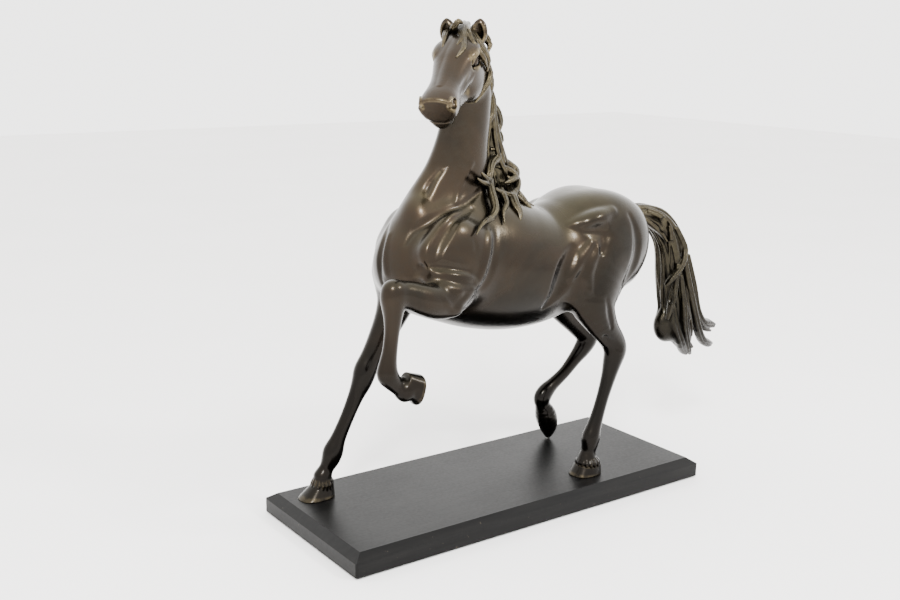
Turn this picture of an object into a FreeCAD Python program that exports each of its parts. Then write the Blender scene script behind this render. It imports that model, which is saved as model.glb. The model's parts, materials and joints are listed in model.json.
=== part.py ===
"""Bronze statuette of a stepping horse on a black wooden board.

The horse is a lost-wax bronze: hollow torso, neck and head castings, legs cast in an upper and a
lower length, and a mane, forelock and tail cast apart and welded on.  Two hooves carry threaded
studs that pass down through the board to nuts in counterbores, a pin holds the toe of the third,
and a felt sheet covers the underside.

Frame: millimetres, +Z up, origin on the underside at the middle of the board, head towards -X.
The horse's own stations are written above the board's top face, where the hooves stand.
"""

import FreeCAD
import Part
import math
import os

from FreeCAD import Matrix, Placement, Rotation, Vector

DRIVING_SIZES = {
    "board_length": 406.0,
    "board_width": 165.0,
    "board_thickness": 18.5,
    "board_corner": 2.0,
    "bevel_width": 8.5,
    "bevel_depth": 6.0,
    "felt_thickness": 1.5,
    "felt_margin": 2.5,
    "casting_wall": 4.0,
    "head_wall": 5.0,
    "stud_radius": 3.0,
    "stud_in_hoof": 9.0,
    "stud_hole_radius": 3.5,
    "counterbore_radius": 8.0,
    "counterbore_depth": 8.0,
    "washer_radius": 7.0,
    "washer_thickness": 1.2,
    "nut_corner_radius": 5.77,
    "nut_height": 5.0,
    "toe_pin_radius": 1.5,
    "toe_pin_in_hoof": 7.0,
    "toe_pin_in_board": 10.0,
    "plug_radius": 3.0,
    "window_half_length": 17.0,
    "window_half_width": 10.0,
}

# Torso outline by stations along the back: x, top, bottom, half width.
TORSO = [
    (-120, 243, 208, 12),
    (-112, 261, 191, 30),
    (-92, 274, 177, 44),
    (-60, 281, 166, 51),
    (-25, 281, 157, 53),
    (10, 268, 151, 54),
    (45, 260, 154, 53),
    (75, 268, 166, 51),
    (100, 274, 176, 51),
    (130, 264, 182, 48),
    (155, 251, 189, 41),
    (172, 238, 204, 24),
]

# Limbs, neck and tail by stations down their middle: x, y, z, half width across, half width fore and aft.
NECK = [
    (-64, 0, 222, 36, 50),
    (-60, 0, 250, 34, 47),
    (-54, 0, 274, 26, 40),
    (-50, -3, 298, 20, 31),
    (-47, -6, 325, 16, 26),
    (-46, -9, 352, 15, 25),
    (-46, -11, 382, 13, 20),
    (-48, -12, 400, 10, 13),
]
TAIL = [
    (158, 0, 234, 9, 10),
    (174, 0, 241, 10, 10),
    (192, -1, 241, 11, 11),
    (207, -3, 234, 12, 13),
    (218, -6, 220, 13, 15),
    (223, -9, 203, 14, 17),
    (225, -11, 180, 15, 19),
    (228, -13, 158, 16, 20),
    (233, -14, 137, 16, 21),
    (238, -15, 118, 15, 19),
    (243, -15, 102, 12, 12),
]
TAIL_TIPS = [
    [(240, -14, 128, 8, 10), (262, -15, 121, 7, 8), (289, -16, 114, 3.5, 5)],
    [(240, -15, 112, 9, 10), (260, -16, 100, 8, 8), (281, -17, 95, 4, 5)],
    [(238, -15, 108, 9, 10), (246, -16, 97, 8, 8), (251, -17, 88, 4, 5)],
]
# Each leg runs from inside the body to its hoof.  The upper casting ends on the ring where the lower starts.
LEFT_FORE = [
    (-66, -30, 214, 16, 22),
    (-88, -46, 199, 13, 17),
    (-104, -54, 198, 12, 14),
    (-120, -56, 203, 11, 13),
    (-136, -56, 208, 10.5, 12),
    (-150, -56, 209, 10.5, 14),
    (-152, -56, 192, 8.5, 9),
    (-153, -56, 174, 6.5, 7),
    (-156, -56, 155, 7.5, 8),
    (-155, -56, 142, 8.5, 11),
    (-147, -56, 131, 6.5, 8),
    (-140, -56, 127, 10.5, 11),
    (-127, -56, 125, 12.5, 13),
]
RIGHT_FORE = [
    (-84, 28, 208, 19, 28),
    (-86, 37, 178, 15, 21),
    (-97, 40, 151, 12, 14),
    (-109, 41, 131, 10, 11),
    (-118, 42, 116, 10, 11),
    (-123, 42, 102, 8.5, 9.5),
    (-134, 43, 79, 6.5, 7),
    (-147, 44, 53, 7, 8),
    (-152, 45, 39, 8.5, 10.5),
    (-157, 46, 27, 6.5, 7.5),
    (-162, 46, 17, 11, 12),
    (-170, 46, 0, 13.5, 17),
]
LEFT_HIND = [
    (110, -20, 236, 26, 34),
    (90, -36, 208, 22, 36),
    (76, -46, 183, 18, 30),
    (84, -49, 163, 14, 21),
    (96, -50, 144, 10.5, 15),
    (109, -50, 125, 10, 15),
    (107, -50, 108, 8.5, 10),
    (102, -50, 89, 6.5, 8),
    (92, -50, 62, 6, 7),
    (86, -50, 46, 7, 8),
    (83, -50, 36, 8.5, 10),
    (81, -50, 25, 6.5, 7.5),
    (80, -49, 17, 11, 12),
    (80, -48, 0, 13.5, 15),
]
RIGHT_HIND = [
    (120, 20, 228, 26, 34),
    (108, 34, 196, 22, 34),
    (106, 42, 170, 18, 28),
    (122, 45, 144, 13, 19),
    (142, 46, 124, 10.5, 14),
    (162, 46, 107, 10, 15),
    (154, 46, 91, 8.5, 10.5),
    (138, 47, 76, 6.5, 7.5),
    (117, 48, 60, 6.5, 7.5),
    (103, 48, 47, 8.5, 11),
    (105, 48, 37, 6.5, 8),
    (109, 48, 27, 11, 11.5),
    (112, 48, 14, 12, 8),
    (112, 48, 1, 5, 3),
]
LEGS = {
    "left_fore": (LEFT_FORE, 5),
    "right_fore": (RIGHT_FORE, 4),
    "left_hind": (LEFT_HIND, 5),
    "right_hind": (RIGHT_HIND, 5),
}
STANDING = ("right_fore", "left_hind")
STUD_PLACES = [RIGHT_FORE[-1][:2], LEFT_HIND[-1][:2]]
TOE_PLACE = RIGHT_HIND[-1][:2]

# Head by stations along its own axis: distance from the poll, drop of the middle, half width, half depth.
POLL = (-47, -10, 412)
HEAD_HEADING = (-65, -52, -47)
HEAD = [
    (-8, -8, 10, 14),
    (4, -8, 15, 20),
    (20, -9, 18, 23),
    (38, -10, 18, 24),
    (58, -7, 13, 17),
    (78, -6, 12, 13),
    (94, -7, 14, 14),
    (106, -9, 10, 9),
    (110, -10, 5, 4),
]
EAR = [(0, -6, 6, 6), (-2, 4, 7, 6), (-3, 10, 7, 5), (-3, 16, 5.5, 4), (-2, 21, 2, 1.5)]
EAR_SPREAD = 13

MANE_CREST = [
    (-30, -4, 404, 8, 8),
    (-25, -2, 388, 9, 9),
    (-20, 1, 362, 10, 9),
    (-16, 3, 335, 12, 11),
    (-9, 4, 305, 14, 13),
    (0, 4, 282, 13, 13),
    (6, 4, 266, 8, 9),
]
MANE_WHORL = (4, -8, 288)
MANE_LOCKS = [
    [(-18, -3, 326, 4, 5), (-27, -18, 306, 4, 5), (-38, -38, 273, 4, 5), (-52, -52, 256, 2, 2)],
    [(2, -10, 288, 4, 6), (-8, -33, 270, 4, 5), (-18, -46, 257, 2, 2)],
    [(8, 2, 274, 5, 6), (20, -3, 268, 5, 5), (36, -6, 262, 2, 2)],
]
FORELOCK = [(-6, 12, 6, 4), (8, 15, 8, 4), (22, 15, 7, 3), (34, 12, 3, 2)]

# Where core pins stood in the torso wall: x, y, z on the surface, and the pin's direction.
CORE_PINS = [
    ((-20, -60, 225), (0, 1, 0)),
    ((40, -60, 220), (0, 1, 0)),
    ((-20, 60, 225), (0, -1, 0)),
    ((40, 60, 220), (0, -1, 0)),
    ((60, 0, 275), (0, 0, -1)),
    ((-30, 0, 150), (0, 0, 1)),
]
WINDOW_AT = (30, 0, 140)

RING_POINTS = 12
STEPS_PER_STATION = 2
LOFT_DEGREE = 3


def make_sheet(doc):
    """The driving sizes, one alias each."""
    sheet = doc.addObject("Spreadsheet::Sheet", "sizes")
    for row, (alias, value) in enumerate(DRIVING_SIZES.items(), start=1):
        sheet.set(f"A{row}", alias)
        sheet.set(f"B{row}", str(value))
        sheet.setAlias(f"B{row}", alias)
    doc.recompute()
    return sheet


def ground(sheet):
    """Height of the board's top face, where the hooves stand."""
    return sheet.felt_thickness + sheet.board_thickness


# ---------------------------------------------------------------- swept solids for the castings


def ring(centre, along, side, half_side, half_front):
    """A closed smooth ring round centre, square to along, with side as its first axis."""
    along = Vector(along).normalize()
    side = Vector(side) - along * along.dot(Vector(side))
    side.normalize()
    front = along.cross(side)
    points = []
    for i in range(RING_POINTS):
        turn = 2 * math.pi * i / RING_POINTS
        points.append(centre + side * (half_side * math.cos(turn)) + front * (half_front * math.sin(turn)))
    curve = Part.BSplineCurve()
    curve.interpolate(Points=points, PeriodicFlag=True)
    return Part.Wire(curve.toShape())


def eased(stations):
    """Stations with others put evenly between them on a smooth curve, so that a loft does not swing out."""
    last = len(stations) - 1
    between = []
    for i in range(last):
        near = [stations[max(i - 1, 0)], stations[i], stations[i + 1], stations[min(i + 2, last)]]
        for step in range(STEPS_PER_STATION):
            t = step / STEPS_PER_STATION
            between.append(tuple(
                b + 0.5 * ((c - a) * t + (2 * a - 5 * b + 4 * c - d) * t**2 + (3 * b - a - 3 * c + d) * t**3)
                for a, b, c, d in zip(*near)
            ))
    return between + [stations[-1]]


def loft(rings):
    return Part.makeLoft(rings, True, False, False, LOFT_DEGREE)


def rings_down(stations, lift, side=(0, 1, 0), thinner=0.0, flat_end=False):
    """Rings down a limb, square to its run; flat_end lays the last one level, as a sole."""
    stations = eased(stations)
    middles = [Vector(x, y, z + lift) for x, y, z, _, _ in stations]
    last = len(stations) - 1
    rings = []
    for i, (_, _, _, half_side, half_front) in enumerate(stations):
        along = middles[min(i + 1, last)] - middles[max(i - 1, 0)]
        if flat_end and i == last:
            along = Vector(0, 0, -1)
        rings.append(ring(middles[i], along, side, half_side - thinner, half_front - thinner))
    return rings


def limb(stations, lift, side=(0, 1, 0), thinner=0.0):
    """A loft down a limb, through one ring for each station, standing lift above the origin."""
    return loft(rings_down(stations, lift, side, thinner))


def leg_castings(name, lift):
    """The upper and lower castings of a leg, which share the ring they are welded on."""
    stations, weld = LEGS[name]
    rings = rings_down(stations, lift, flat_end=name in STANDING)
    return loft(rings[: weld * STEPS_PER_STATION + 1]), loft(rings[weld * STEPS_PER_STATION :])


def ball(centre, lift, radii):
    """An ellipsoid."""
    stretch = Matrix()
    stretch.scale(*radii)
    shape = Part.makeSphere(1.0).transformGeometry(stretch)
    shape.translate(Vector(centre[0], centre[1], centre[2] + lift))
    return shape


def torso_solid(lift, thinner=0.0):
    """The torso's closed outline, or the core inside it when thinner is the wall."""
    rings = []
    for x, top, bottom, half_width in eased(TORSO):
        middle = Vector(x, 0, (top + bottom) / 2 + lift)
        half_depth = (top - bottom) / 2
        if thinner and not TORSO[0][0] + 1.5 * thinner < x < TORSO[-1][0] - 1.5 * thinner:
            continue
        rings.append(ring(middle, (1, 0, 0), (0, 1, 0), half_width - thinner, half_depth - thinner))
    return loft(rings)


def head_axes():
    """The head's own axes: down the face, across to its left, and up out of the forehead."""
    along = Vector(*HEAD_HEADING).normalize()
    side = along.cross(Vector(0, 0, 1)).normalize()
    up = side.cross(along)
    return along, side, up


def head_point(distance, height, across, lift):
    """A point of the head: distance down from the poll, height above its axis, across to the side."""
    along, side, up = head_axes()
    poll = Vector(POLL[0], POLL[1], POLL[2] + lift)
    return poll + along * distance + up * height + side * across


def head_solid(lift, thinner=0.0):
    """The skull and muzzle."""
    along, side, _ = head_axes()
    rings = [
        ring(head_point(distance, drop, 0, lift), along, side, half_width - thinner, half_depth - thinner)
        for distance, drop, half_width, half_depth in eased(HEAD)
        if min(half_width, half_depth) > 1.9 * thinner
    ]
    return loft(rings)


def ear_solid(lift, across):
    """One ear, a leaf standing off the poll."""
    along, side, up = head_axes()
    rings = [
        ring(head_point(distance, height, across, lift), up, side, half_width, half_depth)
        for distance, height, half_width, half_depth in eased(EAR)
    ]
    return loft(rings)


def forelock_solid(lift):
    """The tuft between the ears, lying down the forehead."""
    along, side, _ = head_axes()
    rings = [
        ring(head_point(distance, height, 2, lift), along, side, half_width, half_depth)
        for distance, height, half_width, half_depth in eased(FORELOCK)
    ]
    return loft(rings)


def fused(shapes):
    """One solid from overlapping ones."""
    whole = shapes[0].multiFuse(shapes[1:]) if len(shapes) > 1 else shapes[0]
    return whole.removeSplitter()


def biggest(shape):
    """The largest solid of a shape, without slivers that a cut leaves."""
    return max(shape.Solids, key=lambda solid: solid.Volume)


# ---------------------------------------------------------------- drawn features for the board


def origin_plane(body, role):
    return next(feature for feature in body.Origin.OriginFeatures if feature.Role == role)


def new_sketch(body, name):
    sketch = body.newObject("Sketcher::SketchObject", name)
    sketch.AttachmentSupport = [(origin_plane(body, "XY_Plane"), "")]
    sketch.MapMode = "FlatFace"
    return sketch


def centred_rectangle(body, name, length, width):
    """A rectangle about the origin, whose two sizes are expressions."""
    import Sketcher

    sketch = new_sketch(body, name)
    corners = [Vector(-10, -5, 0), Vector(10, -5, 0), Vector(10, 5, 0), Vector(-10, 5, 0)]
    for i in range(4):
        sketch.addGeometry(Part.LineSegment(corners[i], corners[(i + 1) % 4]), False)
    for i in range(4):
        sketch.addConstraint(Sketcher.Constraint("Coincident", i, 2, (i + 1) % 4, 1))
        sketch.addConstraint(Sketcher.Constraint("Horizontal" if i % 2 == 0 else "Vertical", i))
    sketch.addConstraint(Sketcher.Constraint("Symmetric", 0, 1, 2, 1, -1, 1))
    across = sketch.addConstraint(Sketcher.Constraint("DistanceX", 0, 1, 0, 2, 20))
    up = sketch.addConstraint(Sketcher.Constraint("DistanceY", 1, 1, 1, 2, 10))
    sketch.setExpression(f"Constraints[{across}]", length)
    sketch.setExpression(f"Constraints[{up}]", width)
    return sketch


def circles(body, name, places, radius):
    """Equal circles at fixed places, with their radius an expression."""
    import Sketcher

    sketch = new_sketch(body, name)
    for i, (x, y) in enumerate(places):
        sketch.addGeometry(Part.Circle(Vector(x, y, 0), Vector(0, 0, 1), 2), False)
        sketch.addConstraint(Sketcher.Constraint("DistanceX", -1, 1, i, 3, x))
        sketch.addConstraint(Sketcher.Constraint("DistanceY", -1, 1, i, 3, y))
        round_size = sketch.addConstraint(Sketcher.Constraint("Radius", i, 2))
        sketch.setExpression(f"Constraints[{round_size}]", radius)
    return sketch


def pocket_up(body, name, sketch, depth):
    """A pocket from the underside, up to depth."""
    pocket = body.newObject("PartDesign::Pocket", name)
    pocket.Profile = sketch
    pocket.Reversed = True
    pocket.setExpression("Length", depth)
    return pocket


def make_board(doc, stud_places, pin_place):
    """The board, with a wide bevel round its top, and its drilled and counterbored holes."""
    body = doc.addObject("PartDesign::Body", "base_board")
    outline = centred_rectangle(body, "board_outline", "sizes.board_length", "sizes.board_width")
    pad = body.newObject("PartDesign::Pad", "board_pad")
    pad.Profile = outline
    pad.setExpression("Length", "sizes.board_thickness")
    doc.recompute()

    top_face = max(range(len(pad.Shape.Faces)), key=lambda i: pad.Shape.Faces[i].CenterOfMass.z)
    bevel = body.newObject("PartDesign::Chamfer", "board_bevel")
    bevel.Base = (pad, [f"Face{top_face + 1}"])
    bevel.ChamferType = "Two distances"
    bevel.setExpression("Size", "sizes.bevel_depth")
    bevel.setExpression("Size2", "sizes.bevel_width")
    doc.recompute()

    upright = [
        f"Edge{i}"
        for i, edge in enumerate(bevel.Shape.Edges, start=1)
        if abs(edge.Vertexes[0].Z - edge.Vertexes[1].Z) > 1
        and abs(edge.Vertexes[0].X - edge.Vertexes[1].X) < 1
    ]
    corners = body.newObject("PartDesign::Fillet", "board_corners")
    corners.Base = (bevel, upright)
    corners.setExpression("Radius", "sizes.board_corner")
    doc.recompute()

    holes = circles(body, "stud_circles", stud_places, "sizes.stud_hole_radius")
    pocket_up(body, "stud_holes", holes, "sizes.board_thickness")
    wells = circles(body, "counterbore_circles", stud_places, "sizes.counterbore_radius")
    pocket_up(body, "counterbores", wells, "sizes.counterbore_depth")
    pin = circles(body, "pin_circle", [pin_place], "sizes.toe_pin_radius")
    pocket_up(body, "pin_hole", pin, "sizes.board_thickness")
    body.setExpression("Placement.Base.z", "sizes.felt_thickness")
    return body


def make_felt(doc):
    """The felt sheet glued under the board."""
    body = doc.addObject("PartDesign::Body", "felt_sheet")
    margin = "2 * sizes.felt_margin"
    outline = centred_rectangle(
        body, "felt_outline", f"sizes.board_length - {margin}", f"sizes.board_width - {margin}"
    )
    pad = body.newObject("PartDesign::Pad", "felt_pad")
    pad.Profile = outline
    pad.setExpression("Length", "sizes.felt_thickness")
    return body


def cylinder(doc, name, place, radius, height, base):
    """An upright cylinder at place, whose radius, height and base level are expressions."""
    item = doc.addObject("Part::Cylinder", name)
    item.setExpression("Radius", radius)
    item.setExpression("Height", height)
    item.Placement.Base = Vector(place[0], place[1], 0)
    item.setExpression("Placement.Base.z", base)
    return item


def group(doc, name, items):
    compound = doc.addObject("Part::Compound", name)
    compound.Links = items
    return compound


def make_studs(doc, places):
    """Threaded studs from the washers' undersides up into the hooves."""
    base = "sizes.felt_thickness + sizes.counterbore_depth - sizes.washer_thickness - sizes.nut_height"
    height = (
        "sizes.board_thickness - sizes.counterbore_depth + sizes.washer_thickness"
        " + sizes.nut_height + sizes.stud_in_hoof"
    )
    studs = [cylinder(doc, f"stud_{i}", at, "sizes.stud_radius", height, base) for i, at in enumerate(places)]
    return group(doc, "mounting_studs", studs)


def make_washers(doc, places):
    base = "sizes.felt_thickness + sizes.counterbore_depth - sizes.washer_thickness"
    washers = []
    for i, at in enumerate(places):
        disc = cylinder(doc, f"washer_disc_{i}", at, "sizes.washer_radius", "sizes.washer_thickness", base)
        hole = cylinder(doc, f"washer_hole_{i}", at, "sizes.stud_radius + 0.2", "sizes.washer_thickness", base)
        cut = doc.addObject("Part::Cut", f"washer_{i}")
        cut.Base, cut.Tool = disc, hole
        washers.append(cut)
    return group(doc, "stud_washers", washers)


def make_nuts(doc, places):
    base = "sizes.felt_thickness + sizes.counterbore_depth - sizes.washer_thickness - sizes.nut_height"
    nuts = []
    for i, at in enumerate(places):
        hexagon = doc.addObject("Part::Prism", f"nut_hexagon_{i}")
        hexagon.Polygon = 6
        hexagon.setExpression("Circumradius", "sizes.nut_corner_radius")
        hexagon.setExpression("Height", "sizes.nut_height")
        hexagon.Placement.Base = Vector(at[0], at[1], 0)
        hexagon.setExpression("Placement.Base.z", base)
        thread = cylinder(doc, f"nut_thread_{i}", at, "sizes.stud_radius", "sizes.nut_height", base)
        cut = doc.addObject("Part::Cut", f"nut_{i}")
        cut.Base, cut.Tool = hexagon, thread
        nuts.append(cut)
    return group(doc, "stud_nuts", nuts)


def make_toe_pin(doc, place):
    base = "sizes.felt_thickness + sizes.board_thickness - sizes.toe_pin_in_board"
    height = "sizes.toe_pin_in_board + sizes.toe_pin_in_hoof"
    return cylinder(doc, "toe_pin", place, "sizes.toe_pin_radius", height, base)


# ---------------------------------------------------------------- the castings


def casting(doc, name, shape):
    """A document object for a casting's finished shape."""
    item = doc.addObject("Part::Feature", name)
    item.Shape = shape
    return item


def make_castings(doc, sheet):
    lift = ground(sheet)
    wall = sheet.casting_wall

    torso = torso_solid(lift)
    neck = limb(NECK, lift)
    core = torso_solid(lift, wall).fuse(limb(NECK, lift, thinner=wall))
    skull = head_solid(lift)
    ears = [ear_solid(lift, side * EAR_SPREAD) for side in (-1, 1)]
    skin = torso.cut(core)

    pins = []
    for at, direction in CORE_PINS:
        start = Vector(at[0], at[1], at[2] + lift)
        pins.append(Part.makeCylinder(sheet.plug_radius, 40, start, Vector(*direction)))
    window = ball(WINDOW_AT, lift, (sheet.window_half_length, sheet.window_half_width, 30))

    casting(doc, "torso_casting", biggest(skin.cut(window).cut(Part.makeCompound(pins))))
    casting(doc, "core_pin_plugs", Part.makeCompound([biggest(skin.common(pin)) for pin in pins]))
    casting(doc, "core_window_patch", biggest(skin.common(window)))
    casting(doc, "neck_casting", biggest(neck.cut(torso).cut(core).cut(skull)))
    head = fused([skull] + ears).cut(head_solid(lift, sheet.head_wall))
    casting(doc, "head_casting", biggest(head))
    casting(doc, "forelock_casting", biggest(forelock_solid(lift).cut(fused([skull] + ears))))

    hair = [limb(MANE_CREST, lift), ball(MANE_WHORL, lift, (12, 9, 13))]
    hair += [limb(lock, lift, side=(1, 0, 0)) for lock in MANE_LOCKS]
    tufts = [biggest(tuft.cut(torso).cut(neck).cut(skull)) for tuft in hair]
    casting(doc, "mane_casting", biggest(tufts[0].multiFuse(tufts[1:]).cut(Part.makeCompound(ears))))
    tail = fused([limb(TAIL, lift)] + [limb(tip, lift) for tip in TAIL_TIPS])
    casting(doc, "tail_casting", biggest(tail.cut(torso)))

    bores = [Part.makeCylinder(sheet.stud_radius, sheet.stud_in_hoof, Vector(*at, lift)) for at in STUD_PLACES]
    bores.append(Part.makeCylinder(sheet.toe_pin_radius, sheet.toe_pin_in_hoof, Vector(*TOE_PLACE, lift)))
    for name in LEGS:
        upper, lower = leg_castings(name, lift)
        casting(doc, f"{name}_upper_casting", biggest(upper.cut(torso)))
        casting(doc, f"{name}_lower_casting", biggest(lower.cut(Part.makeCompound(bores))))


NODES = [
    "felt_sheet",
    "base_board",
    "mounting_studs",
    "stud_washers",
    "stud_nuts",
    "toe_pin",
    "torso_casting",
    "core_pin_plugs",
    "core_window_patch",
    "neck_casting",
    "head_casting",
    "forelock_casting",
    "mane_casting",
    "tail_casting",
    "left_fore_upper_casting",
    "left_fore_lower_casting",
    "right_fore_upper_casting",
    "right_fore_lower_casting",
    "left_hind_upper_casting",
    "left_hind_lower_casting",
    "right_hind_upper_casting",
    "right_hind_lower_casting",
]


def main():
    doc = FreeCAD.newDocument("statuette")
    sheet = make_sheet(doc)
    make_felt(doc)
    make_board(doc, STUD_PLACES, TOE_PLACE)
    make_studs(doc, STUD_PLACES)
    make_washers(doc, STUD_PLACES)
    make_nuts(doc, STUD_PLACES)
    make_toe_pin(doc, TOE_PLACE)
    make_castings(doc, sheet)
    doc.recompute()

    failed = [item.Name for item in doc.Objects if {"Invalid", "Error"} & set(item.State)]
    if failed:
        raise SystemExit(f"these objects failed: {failed}")
    os.makedirs("parts", exist_ok=True)
    for name in NODES:
        shape = doc.getObject(name).Shape
        if shape.isNull() or not shape.isValid() or not shape.Solids:
            raise SystemExit(f"{name} has no valid solid")
        print(f"{name:28s} solids {len(shape.Solids)}  volume {shape.Volume / 1000:8.2f} cm3")
        shape.exportStep(f"parts/{name}.step")


main()
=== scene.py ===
"""Bronze statuette of a stepping horse: its looks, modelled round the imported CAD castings.

Limbs, muscles and grooves are laid like clay into a grid of distances; its skin is taken as a mesh and
parted where the castings are welded.
Lengths are in millimetres above the board's top face until a mesh is made.
"""

import json
import math
from concurrent.futures import ThreadPoolExecutor

import bmesh
import bpy
import numpy as np
from mathutils import Matrix, Vector

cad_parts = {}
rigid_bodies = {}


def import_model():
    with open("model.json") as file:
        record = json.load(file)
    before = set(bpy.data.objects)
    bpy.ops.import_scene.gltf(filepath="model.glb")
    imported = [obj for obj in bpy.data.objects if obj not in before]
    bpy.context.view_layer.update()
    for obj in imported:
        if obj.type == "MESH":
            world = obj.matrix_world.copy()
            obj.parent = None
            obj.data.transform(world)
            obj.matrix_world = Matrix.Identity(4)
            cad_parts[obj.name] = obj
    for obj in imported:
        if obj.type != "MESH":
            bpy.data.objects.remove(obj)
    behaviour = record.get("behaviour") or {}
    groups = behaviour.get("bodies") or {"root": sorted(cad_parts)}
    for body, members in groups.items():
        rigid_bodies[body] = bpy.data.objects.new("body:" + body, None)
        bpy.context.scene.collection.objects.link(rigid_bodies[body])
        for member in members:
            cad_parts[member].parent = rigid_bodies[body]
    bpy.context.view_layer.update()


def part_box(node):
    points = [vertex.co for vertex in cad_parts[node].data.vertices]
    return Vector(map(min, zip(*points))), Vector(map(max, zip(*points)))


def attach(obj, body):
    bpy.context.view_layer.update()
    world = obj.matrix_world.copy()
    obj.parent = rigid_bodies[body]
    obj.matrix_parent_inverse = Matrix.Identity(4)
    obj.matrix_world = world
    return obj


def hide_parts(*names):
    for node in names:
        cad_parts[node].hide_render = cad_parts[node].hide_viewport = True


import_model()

MM = 0.001
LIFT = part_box("base_board")[1][2] / MM
COARSE = 1.0
FAR = 60.0
STRAND_BLEND = 0.5

# ---- clay


def unit(v):
    v = np.asarray(v, float)
    return v / np.linalg.norm(v)


def eased(stations, steps):
    """Stations with others between them on a smooth curve."""
    stations = np.asarray(stations, float)
    padded = np.vstack([stations[:1], stations, stations[-1:]])
    rows = []
    for i in range(len(stations) - 1):
        a, b, c, d = padded[i : i + 4]
        for t in np.arange(steps) / steps:
            curve = (c - a) * t + (2 * a - 5 * b + 4 * c - d) * t**2 + (3 * b - a - 3 * c + d) * t**3
            rows.append(b + 0.5 * curve)
    return np.array(rows + [stations[-1]])


def soft_min(a, b, blend):
    """The smaller of two distances, with a fillet as wide as the blend where they meet."""
    if blend <= 0:
        return np.minimum(a, b)
    near = np.maximum(blend - np.abs(a - b), 0) / blend
    return np.minimum(a, b) - near * near * (blend / 4)


class Clay:
    """A block of samples square to its own axes, each the distance to the surface, negative inside."""

    def __init__(self, low, high, step, axes=None, about=(0, 0, 0)):
        self.axes = np.eye(3) if axes is None else np.array(axes, float)
        self.step = step * COARSE
        low, high = np.array(low, float), np.array(high, float)
        self.start = np.array(about, float) + low @ self.axes
        self.counts = np.ceil((high - low) / self.step).astype(int) + 1
        self.field = np.full(self.counts, FAR, np.float32)

    def window(self, points, reach):
        """The samples within reach of the points, as slices, or None."""
        local = (np.atleast_2d(points) - self.start) @ self.axes.T / self.step
        first = np.clip(np.floor(local.min(0) - reach / self.step), 0, self.counts).astype(int)
        last = np.clip(np.ceil(local.max(0) + reach / self.step) + 1, 0, self.counts).astype(int)
        if (last <= first).any():
            return None
        return tuple(slice(a, b) for a, b in zip(first, last))

    def reading(self, window, origin, direction):
        """How far each sample of a window lies from origin along a direction."""
        slopes = self.axes @ direction * self.step
        rows = [np.arange(s.start, s.stop, dtype=np.float32) * np.float32(k) for s, k in zip(window, slopes)]
        start = np.float32((self.start - origin) @ direction)
        return (start + rows[0])[:, None, None] + rows[1][None, :, None] + rows[2][None, None, :]

    def merge(self, window, distances, blend):
        self.field[window] = soft_min(self.field[window], distances, blend)

    def cut(self, window, distances, blend):
        self.field[window] = -soft_min(-self.field[window], distances, blend)


def ellipse_distance(u, v, w, ru, rv, rw, power=2.0):
    """Distances to an ellipsoid, or a squarer block where the power is above two."""
    if power == 2:
        near = np.sqrt((u / ru) ** 2 + (v / rv) ** 2 + (w / rw) ** 2)
        slope = np.sqrt((u / ru**2) ** 2 + (v / rv**2) ** 2 + (w / rw**2) ** 2) + 1e-6
        return near * (near - 1) / slope
    u, v, w = np.abs(u) / ru, np.abs(v) / rv, np.abs(w) / rw
    near = (u**power + v**power + w**power) ** (1 / power) + 1e-6
    low = power - 1
    slope = np.sqrt((u**low / ru) ** 2 + (v**low / rv) ** 2 + (w**low / rw) ** 2) / near**low + 1e-6
    return (near - 1) / slope


def rod(clay, window, a, b, side, power=2.0):
    """Distances to a tapering rod of elliptical section; a and b are x, y, z, half side, half front."""
    start, run = a[:3], b[:3] - a[:3]
    length = np.linalg.norm(run)
    along = run / length
    side = unit(np.asarray(side, float) - along * (along @ side))
    front = np.cross(along, side)
    w = clay.reading(window, start, along)
    t = np.clip(w / length, 0, 1)
    u = clay.reading(window, start, side)
    v = clay.reading(window, start, front)
    ru = a[3] + (b[3] - a[3]) * t
    rv = a[4] + (b[4] - a[4]) * t
    return ellipse_distance(u, v, w - t * length, ru, rv, np.minimum(ru, rv), power)


def inner(window, sub):
    return tuple(slice(s.start - o.start, s.stop - o.start) for o, s in zip(window, sub))


def limb(clay, stations, blend, side=(0, 1, 0), steps=3, cut=False, power=2.0, spread=0):
    """Lays a limb of elliptical section down its stations: x, y, z, half side, half front."""
    spine = eased(stations, steps)
    spread = max(blend, spread) + 1
    window = clay.window(spine[:, :3], spine[:, 3:5].max() + spread)
    if window is None:
        return
    near = np.full([s.stop - s.start for s in window], FAR, np.float32)
    for a, b in zip(spine[:-1], spine[1:]):
        own = max(a[3], a[4], b[3], b[4]) + spread
        sub = clay.window(np.array([a[:3], b[:3]]), own)
        if sub is None:
            continue
        at = inner(window, sub)
        near[at] = np.minimum(near[at], rod(clay, sub, a, b, side, power))
    (clay.cut if cut else clay.merge)(window, near, blend)


def blob(clay, centre, radii, blend, along=(1, 0, 0), side=(0, 1, 0), cut=False):
    """Lays an ellipsoid; radii are along, side and the third way."""
    centre, along = np.asarray(centre, float), unit(along)
    side = np.asarray(side, float)
    side = unit(side - along * (along @ side))
    third = np.cross(along, side)
    window = clay.window(centre, max(radii) + blend + 1)
    if window is None:
        return
    parts = [clay.reading(window, centre, d) for d in (along, side, third)]
    (clay.cut if cut else clay.merge)(window, ellipse_distance(*parts, *radii), blend)


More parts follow.
